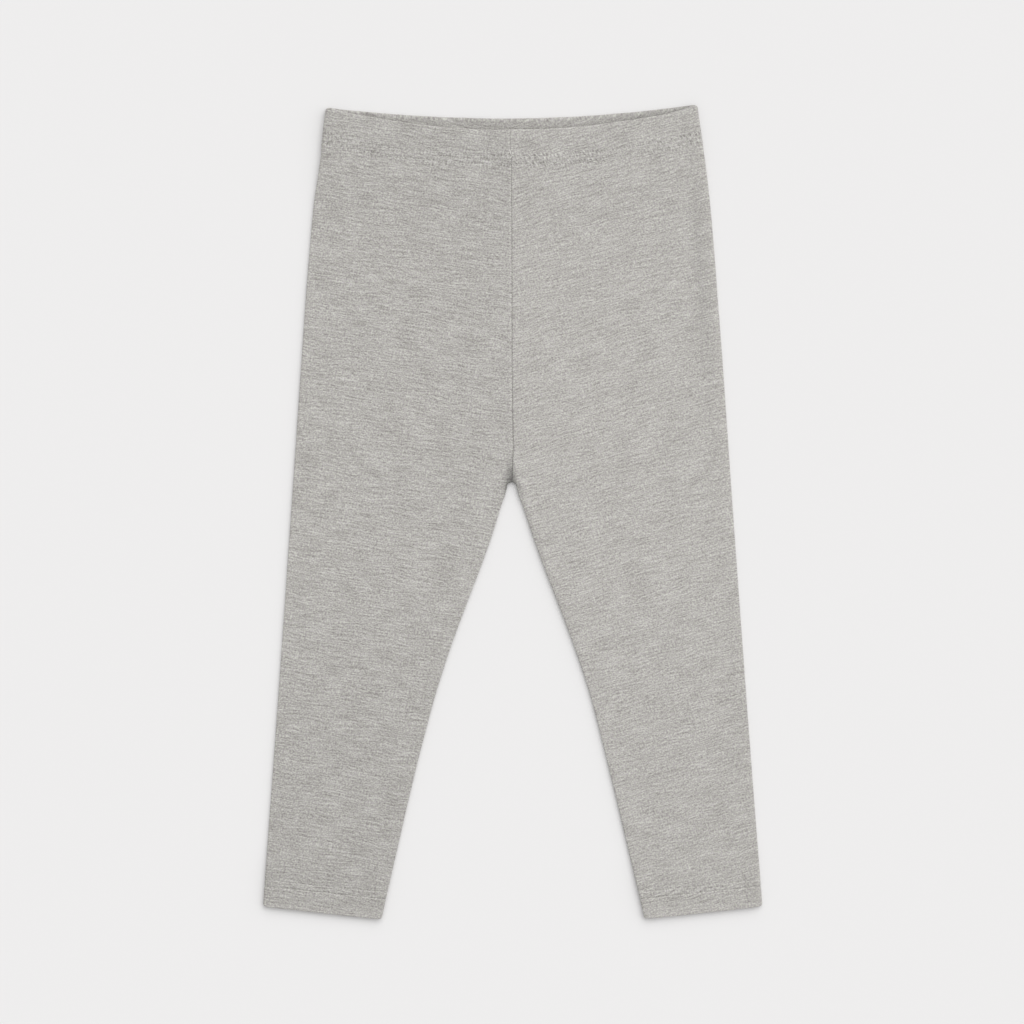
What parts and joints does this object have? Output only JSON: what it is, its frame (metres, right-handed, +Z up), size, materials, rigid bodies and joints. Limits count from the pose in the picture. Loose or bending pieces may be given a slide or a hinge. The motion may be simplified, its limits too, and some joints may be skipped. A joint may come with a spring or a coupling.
{
  "type": "leggings",
  "caption": "Child's plain heather jersey leggings with an elasticated waist casing, one-piece legs and turned-up hems, laid out flat with the front up.",
  "frame": {"origin": "On the table, under the middle of the outline of the laid-out garment. It lies in the gap between the legs, below the crotch.", "axes": "+X to the wearer's left, +Y up the garment towards the waist, +Z up from the table through the back and then the front."},
  "size_m": [0.2996, 0.4879, 0.0058],
  "materials": {
    "jersey": "grey heather single jersey, matt, lightly brushed by wear"
  },
  "bodies": {
    "root": {"waistband_left": "jersey", "waistband_right": "jersey", "leg_left": "jersey", "leg_right": "jersey", "hem_left": "jersey", "hem_right": "jersey"}
  },
  "joints": []
}
